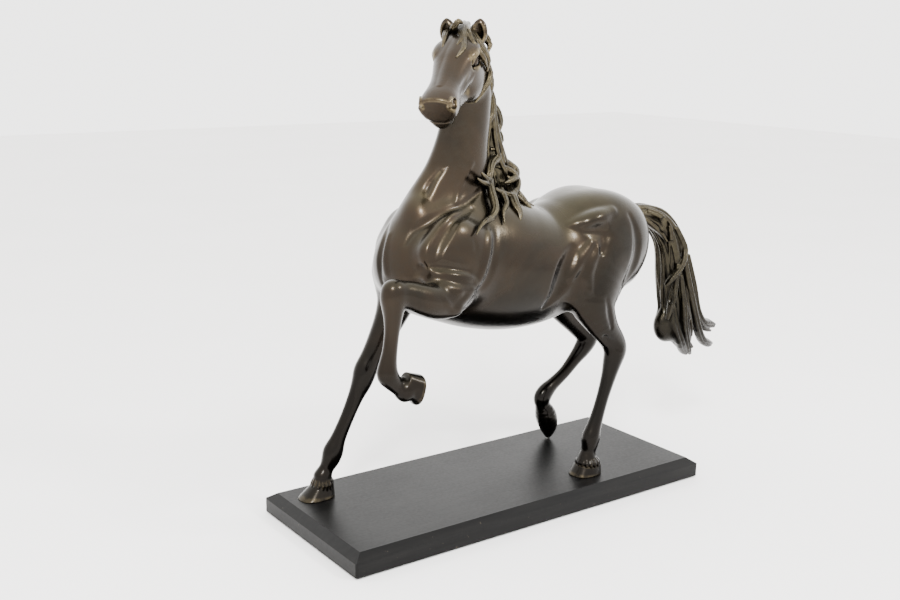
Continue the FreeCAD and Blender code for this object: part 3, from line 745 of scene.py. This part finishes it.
NEAR_HAIR = [
    [(-34, -14, 400, 4, 4), (-33, -26, 386, 3.2, 3), (-42, -30, 373, 2.8, 2.4), (-52, -31, 362, 1, 1)],
    [(-30, -10, 396, 5, 4), (-26, -17, 380, 4, 3.4), (-24, -13, 366, 3, 2.6), (-26, -10, 354, 1, 1)],
    [(-22, -6, 374, 5, 4), (-16, -7, 362, 4.4, 4), (-16, -8, 350, 3.4, 3), (-22, -11, 341, 1.2, 1.2)],
    [(-20, -2, 362, 4, 4), (-8, -1, 353, 5, 5), (-3, 0, 342, 5.4, 5), (-6, -4, 334, 3, 3),
     (-13, -7, 332, 1, 1)],
    [(-16, -1, 343, 4, 4), (-6, 0, 334, 5, 5), (-2, 0, 325, 5.6, 5), (-8, -4, 319, 3, 3),
     (-15, -7, 318, 1, 1)],
    [(-10, 0, 326, 5, 5), (0, 1, 317, 5, 5), (-7, -6, 310, 4.4, 4), (-18, -12, 305, 4, 3.6),
     (-24, -17, 299, 3.8, 3.4),
     (-28, -20, 291, 3.6, 3.2), (-27, -21, 286, 3, 3)],
    [(-24, -18, 291, 3, 3), (-33, -25, 294, 3, 2.8), (-42, -29, 301, 1, 1)],
    [(-26, -19, 288, 2.6, 2.6), (-36, -28, 291, 2.6, 2.4), (-43, -31, 293, 2.2, 2),
     (-50, -34, 297, 0.8, 0.8)],
    [(-24, -18, 292, 3.4, 3.4), (-28, -25, 284, 3.6, 3.4), (-30, -32, 276, 3.8, 3.4),
     (-33, -38, 269, 3.8, 3.2),
     (-41, -43, 263, 3.4, 2.6), (-54, -48, 260, 2.6, 2), (-66, -55, 252, 0.8, 0.8)],
    [(-2, 2, 310, 4, 4), (8, -1, 304, 3.6, 3.6), (15, -5, 298, 3.4, 3.4), (12, -11, 293, 3.2, 3.2),
     (2, -16, 290, 2.6, 2.6),
     (-7, -18, 288, 1.2, 1.2)],
    [(14, -3, 296, 3.4, 3.6), (15, -9, 287, 3.4, 3.6), (9, -15, 280, 3.2, 3.2), (-3, -20, 278, 3, 3),
     (-14, -22, 281, 2.8, 2.8), (-23, -25, 285, 1.6, 1.6)],
    [(-8, -4, 303, 3, 3), (3, -9, 299, 3, 3), (9, -12, 295, 2.6, 2.6), (4, -15, 291, 2, 2),
     (-2, -14, 294, 1, 1)],
    [(-12, -18, 283, 3, 3), (-13, -25, 277, 3, 3), (-15, -31, 271, 2.8, 2.6), (-22, -36, 266, 2.2, 2),
     (-26, -43, 257, 0.8, 0.8)],
    [(8, -6, 283, 4, 4), (2, -17, 276, 5, 4), (-1, -26, 269, 5, 3.6), (-1, -33, 263, 3.4, 2.6),
     (-4, -38, 256, 0.8, 0.8)],
    [(10, -2, 284, 5, 5), (15, -6, 277, 5, 4), (21, -12, 269, 3.6, 3), (25, -19, 262, 1, 1)],
    [(6, 2, 282, 6, 6), (16, 0, 274, 5, 4.4), (27, -4, 267, 3.4, 3), (37, -8, 262, 1, 1)],
]
FAR_HAIR = [
    [(-36, -2, 402, 5, 4), (-38, 5, 390, 5, 4), (-44, 6, 374, 4, 3), (-50, 4, 360, 1, 1)],
    [(-28, 0, 388, 6, 5), (-30, 8, 372, 6, 4), (-36, 9, 354, 4.4, 3), (-46, 7, 340, 1, 1)],
    [(-22, 3, 366, 6, 5), (-26, 12, 348, 6, 4), (-34, 13, 330, 4.4, 3), (-43, 12, 316, 1, 1)],
    [(-15, 4, 342, 6, 5), (-22, 15, 324, 6, 4), (-32, 18, 306, 5, 3), (-40, 22, 290, 1, 1)],
    [(-8, 6, 318, 7, 6), (-16, 18, 300, 6.4, 4.6), (-26, 26, 284, 5, 3.4), (-38, 35, 268, 1, 1)],
    [(0, 6, 298, 7, 6), (-6, 20, 280, 6, 4.6), (-16, 33, 264, 4.6, 3.4), (-30, 43, 250, 1, 1)],
    [(6, 6, 280, 6, 6), (6, 20, 268, 6, 4.4), (-1, 33, 258, 4, 3), (-8, 43, 246, 1, 1)],
    [(8, 5, 276, 6, 5), (18, 12, 269, 5, 4), (26, 20, 263, 3, 2.6), (36, 26, 257, 1, 1)],
]


def wrap(clay, table, count, girth, wander):
    """Lays wandering strands all round a limb's spine, from a little below its root."""
    spine = eased(table, 3)[2:]
    runs = np.gradient(spine[:, :3], axis=0)
    runs /= np.linalg.norm(runs, axis=1, keepdims=True)
    side = unit((0, 1, 0)) - runs * runs[:, 1:2]
    side /= np.linalg.norm(side, axis=1, keepdims=True)
    front = np.cross(runs, side)
    t = np.linspace(0, 1, len(spine))
    for i in range(count):
        sway = wander * np.sin(6.3 * t * (1 + 0.3 * (i % 3)) + 1.7 * i) * np.minimum(t * 3, 1)
        turn = 2 * math.pi * i / count + sway
        start, end = (i * 7) % 4, len(spine) - (i * 5) % 6
        thick = girth * (0.8 + 0.2 * (i * 3 % 4)) * np.interp(t, (0, 0.2, 0.85, 1), (0.7, 1, 1, 0.5))
        ring = side * (np.cos(turn) * spine[:, 3])[:, None] + front * (np.sin(turn) * spine[:, 4])[:, None]
        strand = np.column_stack([spine[:, :3] + ring * 0.92, thick, thick])
        limb(clay, strand[start:end], STRAND_BLEND, steps=1)


def lay_top_hair(clay):
    blob(clay, (-50, -12, 417), (13, 13, 9), 0)
    for i, stations in enumerate(TOP_HAIR):
        lock(clay, stations, TOP_BROAD if i in (0, 5, 6, 7) else EAR_BROAD)


def lay_mane(clay):
    limb(clay, [(*c[:3], c[3] * 0.8, c[4] * 0.8) for c in CREST], 0)
    wrap(clay, CREST, 14, 1.9, 0.5)
    for stations in NEAR_HAIR:
        lock(clay, stations, NEAR_BROAD)
    for stations in FAR_HAIR:
        lock(clay, stations, FAR_BROAD, threads=4)
    blob(clay, (-7, -14, 296), (5, 6, 5), 1.5, cut=True)
    blob(clay, (-4, -20, 285), (5, 5, 3), 1.5, cut=True)


TAIL = [
    (150, 0, 232, 8, 9), (163, 0, 240, 9, 10), (178, 0, 243, 9, 10), (193, -1, 240, 10, 11),
    (207, -3, 233, 11.5, 13), (218, -6, 219, 12.5, 15),
    (222, -9, 203, 13, 16.5), (224, -11, 180, 14, 18), (227, -13, 158, 15, 19), (232, -14, 137, 15.5, 20.5),
    (237, -15, 118, 14, 19), (243, -15, 104, 10, 12),
]
TAIL_LOCKS = [
    [(222, -16, 226, 3, 3), (231, -19, 208, 3.4, 4), (229, -22, 197, 3.2, 4.4), (221, -25, 187, 3, 4.6),
     (209, -26, 178, 2.6, 4), (203, -24, 170, 1.4, 2)],
    [(186, -9, 246, 3, 3.4), (200, -13, 240, 3.2, 4), (210, -16, 228, 3, 4.4), (212, -18, 216, 2.4, 3)],
    [(182, -9, 238, 2, 3), (192, -13, 230, 2.4, 3.4), (202, -15, 222, 2, 3), (208, -17, 214, 1, 1.6)],
    [(218, -24, 190, 2.4, 3), (214, -26, 170, 3, 4), (209, -27, 150, 3, 4), (206, -26, 134, 1.4, 2)],
    [(222, -25, 178, 2.6, 3), (226, -28, 148, 3.4, 4.4), (230, -28, 122, 3.6, 4.4),
     (244, -22, 98, 3, 4), (253, -17, 88, 1.8, 2.4)],
    [(229, -23, 194, 2.8, 3.4), (235, -26, 165, 3.6, 4.4), (250, -25, 126, 4, 5), (266, -20, 104, 4.6, 5),
     (279, -17, 96, 4.6, 5), (286, -16, 94, 3, 3.4)],
    [(240, -16, 196, 3, 4), (248, -20, 164, 3.6, 4.4), (255, -20, 138, 4.4, 5), (267, -18, 122, 5, 5),
     (280, -16, 117, 5, 5),
     (289, -16, 114, 3, 3.4)],
    [(216, -20, 150, 4, 5), (218, -24, 128, 5, 5), (228, -24, 108, 5, 5), (241, -18, 95, 5, 5),
     (248, -16, 90, 3.4, 4)],
    [(245, -8, 160, 5, 5), (254, -12, 136, 5, 5), (262, -14, 122, 4, 5), (276, -15, 112, 3, 4),
     (286, -15, 108, 1.4, 2)],
    [(234, 0, 150, 5, 5), (240, -2, 126, 5, 5), (250, -8, 106, 4, 5), (262, -12, 92, 1.6, 2)],
]


def lay_tail(clay):
    limb(clay, [(*t[:3], t[3] * 0.88, t[4] * 0.88) for t in TAIL], 0, steps=5)
    wrap(clay, TAIL, 26, 1.7, 0.22)
    for stations in TAIL_LOCKS:
        lock(clay, stations, TAIL_BROAD, threads=2)
    blob(clay, (220, -13, 124), (17, 11, 19), 6)
    for pocket in ((202, -18, 232, 6, 4, 9), (218, -27, 204, 4, 4, 9), (207, -28, 160, 3, 4, 9)):
        blob(clay, pocket[:3], pocket[3:], 1.5, cut=True)


# The block of clay for each casting: low and high corners, and sample size.
BLOCKS = {
    "head": ((-26, -26, -48), (112, 26, 30), 0.55),
    "torso": ((-142, -72, 132), (182, 72, 304), 1.32),
    "neck": ((-112, -48, 262), (8, 44, 424), 0.9),
    "left_fore_upper": ((-172, -76, 178), (-96, -34, 232), 0.6),
    "left_fore_lower": ((-176, -76, 104), (-104, -36, 232), 0.6),
    "right_fore_upper": ((-136, 20, 96), (-70, 62, 184), 0.6),
    "right_fore_lower": ((-194, 24, -2), (-100, 64, 134), 0.6),
    "left_hind_upper": ((62, -74, 102), (134, -26, 182), 0.6),
    "left_hind_lower": ((56, -72, -2), (134, -30, 146), 0.6),
    "right_hind_upper": ((88, 20, 88), (184, 68, 180), 0.6),
    "right_hind_lower": ((84, 26, -2), (186, 70, 128), 0.6),
    "forelock": ((-92, -52, 378), (-24, 12, 436), 0.5),
    "mane": ((-74, -62, 236), (46, 52, 426), 0.75),
    "tail": ((138, -38, 78), (298, 22, 262), 0.75),
}
LAY_HAIR = {"forelock": lay_top_hair, "mane": lay_mane, "tail": lay_tail}


def fill(name):
    """A finished block of clay for one casting."""
    own_axes = (HEAD_AXES, POLL) if name == "head" else ()
    clay = Clay(*BLOCKS[name], *own_axes)
    LAY_HAIR.get(name, lay_horse)(clay)
    return clay


with ThreadPoolExecutor(4) as pool:
    clays = dict(zip(BLOCKS, pool.map(fill, BLOCKS)))
horse = {}
for name in BLOCKS:
    horse[name] = bronze_mesh(name, clays.pop(name))
    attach(horse[name], "root")
    core_closures = ("core_pin_plugs", "core_window_patch") if name == "torso" else ()
    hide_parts(f"{name}_casting", *core_closures)

# ---- finishes


class Paint:
    """A material's nodes, wired in a line or two each."""

    def __init__(self, name):
        self.made = bpy.data.materials.new(name)
        self.made.use_nodes = True
        self.tree = self.made.node_tree
        self.shader = self.tree.nodes["Principled BSDF"]
        self.places = self.node("ShaderNodeTexCoord").outputs["Object"]

    def node(self, kind, **settings):
        node = self.tree.nodes.new(kind)
        for key, value in settings.items():
            setattr(node, key, value)
        return node

    def put(self, value, socket):
        if isinstance(value, bpy.types.NodeSocket):
            self.tree.links.new(value, socket)
        else:
            socket.default_value = value

    def noise(self, scale, detail=4.0, rough=0.55, stretch=None, warp=0.0):
        node = self.node("ShaderNodeTexNoise")
        places = self.places
        if stretch:
            mapping = self.node("ShaderNodeMapping")
            mapping.inputs["Scale"].default_value = stretch
            self.put(places, mapping.inputs["Vector"])
            places = mapping.outputs["Vector"]
        self.put(places, node.inputs["Vector"])
        for key, value in (("Scale", scale), ("Detail", detail), ("Roughness", rough),
        ("Distortion", warp)):
            node.inputs[key].default_value = value
        return node.outputs["Fac"]

    def span(self, value, low, high, to_low=0.0, to_high=1.0):
        node = self.node("ShaderNodeMapRange")
        self.put(value, node.inputs["Value"])
        for key, number in (("From Min", low), ("From Max", high), ("To Min", to_low), ("To Max", to_high)):
            node.inputs[key].default_value = number
        return node.outputs["Result"]

    def sum(self, operation, a, b):
        node = self.node("ShaderNodeMath", operation=operation)
        self.put(a, node.inputs[0])
        self.put(b, node.inputs[1])
        return node.outputs["Value"]

    def mix(self, amount, a, b):
        node = self.node("ShaderNodeMix", data_type="RGBA")
        self.put(amount, node.inputs["Factor"])
        for value, socket in ((a, node.inputs[6]), (b, node.inputs[7])):
            self.put((*value, 1) if isinstance(value, tuple) else value, socket)
        return node.outputs[2]

    def attribute(self, name):
        return self.node("ShaderNodeAttribute", attribute_name=name).outputs["Fac"]

    def place(self, axis):
        split = self.node("ShaderNodeSeparateXYZ")
        self.put(self.places, split.inputs["Vector"])
        return split.outputs[axis]

    def facing(self):
        """How far the surface faces up: the z of its normal."""
        split = self.node("ShaderNodeSeparateXYZ")
        self.put(self.node("ShaderNodeNewGeometry").outputs["Normal"], split.inputs["Vector"])
        return split.outputs["Z"]

    def bump(self, height, strength, distance):
        node = self.node("ShaderNodeBump")
        node.inputs["Strength"].default_value = strength
        node.inputs["Distance"].default_value = distance
        self.put(height, node.inputs["Height"])
        self.put(node.outputs["Normal"], self.shader.inputs["Normal"])

    def set(self, **values):
        for key, value in values.items():
            self.put(value, self.shader.inputs[key.replace("_", " ")])
        return self.made


# The near-black colour is painted shade; the greenish one is partly patina and partly painted sheen.
BRONZE_DARK, BRONZE_WARM, BRONZE_GREY = (0.015, 0.0125, 0.009), (0.030, 0.021, 0.0135), (0.024, 0.022, 0.0175)
BRONZE_GREEN_AND_SHEEN, BRONZE_RUB, BRONZE_PAINTED_SHADE = (0.055, 0.048, 0.028), (0.14, 0.11, 0.06), (0.004, 0.0035, 0.003)


def bronze_finish(name, strands):
    """Brown wax over bronze: warmer in patches, greener and lighter on top (partly greenish patina, partly
    painted sheen from above), painted shade in hollows and towards the bottom, brassy where rubbed.
    """
    paint = Paint(name)
    cloud, fleck = paint.noise(14, 3, 0.5, warp=0.6), paint.noise(160, 5, 0.6)
    shelter, worn = paint.attribute("shelter"), paint.attribute("worn")
    height = paint.place("Z")
    brown = paint.mix(paint.span(cloud, 0.38, 0.66), BRONZE_DARK, BRONZE_WARM)
    brown = paint.mix(paint.span(fleck, 0.45, 0.75, 0, 0.35), brown, BRONZE_GREY)

    # Painted sheen: surfaces facing up are made lighter and greener, partly a greenish patina and partly
    # painted light from above; it fades out on the head.
    patchy = paint.span(paint.noise(22, 3), 0.3, 0.7, 0.35, 1)
    top_sheen = paint.sum("MULTIPLY", paint.span(paint.facing(), 0.35, 1.0), patchy)
    below_head = paint.span(height, 0.34, 0.39, 1.0, 0.1)
    brown = paint.mix(paint.sum("MULTIPLY", top_sheen, below_head), brown, BRONZE_GREEN_AND_SHEEN)
    if strands:
        brown = paint.mix(paint.span(fleck, 0.3, 0.7, 0.2, 0.8), brown, BRONZE_GREEN_AND_SHEEN)
    # Painted shade: near-black laid over the legs and lower body, fading out upwards, for the shade and dark
    # reflections below.
    brown = paint.mix(paint.span(height, 0.13, 0.31, 0.9, 0), brown, BRONZE_PAINTED_SHADE)

    edges = paint.span(worn, 0.4, 1.0, 0, 0.5) if strands else paint.span(worn, 0.2, 0.6)
    handled = paint.sum("MULTIPLY", edges, paint.span(height, 0.24, 0.36, 0.15, 1))
    rubbed = paint.sum("MULTIPLY", handled, paint.span(fleck, 0.35, 0.6))
    brown = paint.mix(rubbed, brown, BRONZE_RUB)
    # Painted shade in hollows: points sheltered by nearby bronze are darkened towards near black.
    hollow_shade = paint.span(shelter, 0.12, 0.9, 0, 0.75 if strands else 0.9)
    brown = paint.mix(hollow_shade, brown, BRONZE_PAINTED_SHADE)
    rough = paint.span(paint.sum("ADD", cloud, shelter), 0.3, 1.3, 0.2, 0.5)
    if strands:
        relief, strength = paint.noise(900, 3, 0.6, stretch=(1, 1, 0.12), warp=0.3), 0.5
    else:
        relief, strength = paint.sum("ADD", paint.noise(70, 3), paint.noise(420, 2)), 0.12
    paint.bump(relief, strength, 0.0006)
    return paint.set(Base_Color=brown, Roughness=rough, Metallic=1.0, Coat_Weight=0.1, Coat_Roughness=0.14)


def board_finish():
    """Black satin paint over wood, rubbed grey on its corners and with a faint grain."""
    paint = Paint("black_satin")
    grain = paint.noise(60, 5, 0.6, stretch=(0.25, 3, 3))
    cloud = paint.noise(9, 3)
    black = paint.mix(paint.span(grain, 0.35, 0.7), (0.0015, 0.0015, 0.0015), (0.004, 0.0038, 0.0036))
    low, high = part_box("base_board")
    from_middle = []
    for axis, name in enumerate("XY"):
        shifted = paint.sum("SUBTRACT", paint.place(name), (low[axis] + high[axis]) / 2)
        away = paint.sum("ABSOLUTE", shifted, 0.0)
        from_middle.append(paint.sum("SUBTRACT", away, (high[axis] - low[axis]) / 2))
    rim = paint.span(paint.sum("MAXIMUM", *from_middle), -0.005, -0.0035)
    chips = paint.sum("MULTIPLY", paint.span(paint.noise(260, 4, 0.7), 0.70, 0.73), rim)
    black = paint.mix(chips, black, (0.16, 0.13, 0.10))
    rough = paint.span(paint.sum("ADD", cloud, paint.noise(340, 4)), 0.7, 1.3, 0.3, 0.42)
    paint.bump(grain, 0.12, 0.0004)
    return paint.set(Base_Color=black, Roughness=rough, Specular_IOR_Level=0.1)


def felt_finish():
    """Green wool felt, mottled by its fibres."""
    paint = Paint("green_felt")
    fibre = paint.noise(900, 6, 0.7)
    cloth = paint.mix(paint.span(fibre, 0.3, 0.7), (0.012, 0.03, 0.016), (0.03, 0.06, 0.035))
    paint.bump(fibre, 0.8, 0.0008)
    return paint.set(Base_Color=cloth, Roughness=0.95, Sheen_Weight=0.4, Sheen_Roughness=0.5)


def steel_finish():
    """Zinc-plated steel with turning marks and dull spots."""
    paint = Paint("zinc_steel")
    spots = paint.noise(300, 4, 0.6)
    turned = paint.noise(700, 2, stretch=(0.2, 0.2, 6))
    grey = paint.mix(paint.span(spots, 0.4, 0.7), (0.5, 0.5, 0.48), (0.33, 0.32, 0.29))
    paint.bump(turned, 0.3, 0.0002)
    return paint.set(Base_Color=grey, Roughness=paint.span(spots, 0.3, 0.7, 0.25, 0.5), Metallic=1.0)


bronze = bronze_finish("patinated_bronze", False)
hair_bronze = bronze_finish("patinated_bronze_hair", True)
for name, piece in horse.items():
    piece.data.materials.append(hair_bronze if name in LAY_HAIR else bronze)


def repaint(node, finish):
    """Gives a CAD node its finish."""
    data = bpy.data.objects[node].data
    data.materials.clear()
    data.materials.append(finish)


steel = steel_finish()
repaint("base_board", board_finish())
repaint("felt_sheet", felt_finish())
for node in ("mounting_studs", "stud_washers", "stud_nuts", "toe_pin"):
    repaint(node, steel)
for node in bpy.data.objects:
    if node.type == "MESH" and node.name.endswith(("_casting", "_plugs", "_patch")):
        repaint(node.name, bronze)

# ---- room, light and camera


def floor():
    mesh = bpy.data.meshes.new("floor")
    size = 4.0
    corners = [(-size, -size, 0), (size, -size, 0), (size, size, 0), (-size, size, 0)]
    mesh.from_pydata(corners, [], [(0, 1, 2, 3)])
    paint = Paint("pale_floor")
    white = paint.mix(paint.span(paint.noise(3, 4), 0.35, 0.65), (0.86, 0.85, 0.84), (0.88, 0.87, 0.865))
    mesh.materials.append(paint.set(Base_Color=white, Roughness=0.6))
    add_object("floor", mesh)


floor()
world = bpy.data.worlds.new("studio")
bpy.context.scene.world = world
world.use_nodes = True
background = world.node_tree.nodes["Background"].inputs
background["Color"].default_value = (1.0, 0.99, 0.975, 1)
background["Strength"].default_value = 3.6


def area_light(name, place, target, size, power):
    """A square soft light that faces a target."""
    data = bpy.data.lights.new(name, "AREA")
    data.shape, data.size, data.energy = "SQUARE", size, power
    lamp = add_object(name, data)
    lamp.location = place
    lamp.rotation_euler = (Vector(target) - Vector(place)).to_track_quat("-Z", "Y").to_euler()


area_light("key", (-1.0, -1.2, 1.6), (0, 0, 0.2), 0.35, 60)
area_light("side", (0.9, -1.3, 1.5), (0, 0, 0.2), 0.3, 30)

CAMERA_AT = (-0.640, -0.8145, 0.4409)
AZIMUTH, ELEVATION, ROLL = (math.radians(a) for a in (-35.78, 13.39, 0.87))
FOCAL = 45.16


def add_camera():
    data = bpy.data.cameras.new("camera")
    data.lens, data.sensor_width = FOCAL, 36.0
    made = add_object("camera", data)
    made.location = CAMERA_AT
    sin_a, cos_a = math.sin(AZIMUTH), math.cos(AZIMUTH)
    sin_e, cos_e = math.sin(ELEVATION), math.cos(ELEVATION)
    back = Vector((sin_a * cos_e, -cos_a * cos_e, sin_e))
    right = Vector((cos_a, sin_a, 0))
    up = back.cross(right)
    rolled_right = right * math.cos(ROLL) + up * math.sin(ROLL)
    rolled_up = up * math.cos(ROLL) - right * math.sin(ROLL)
    made.rotation_euler = Matrix((rolled_right, rolled_up, back)).transposed().to_euler()
    bpy.context.scene.camera = made


add_camera()
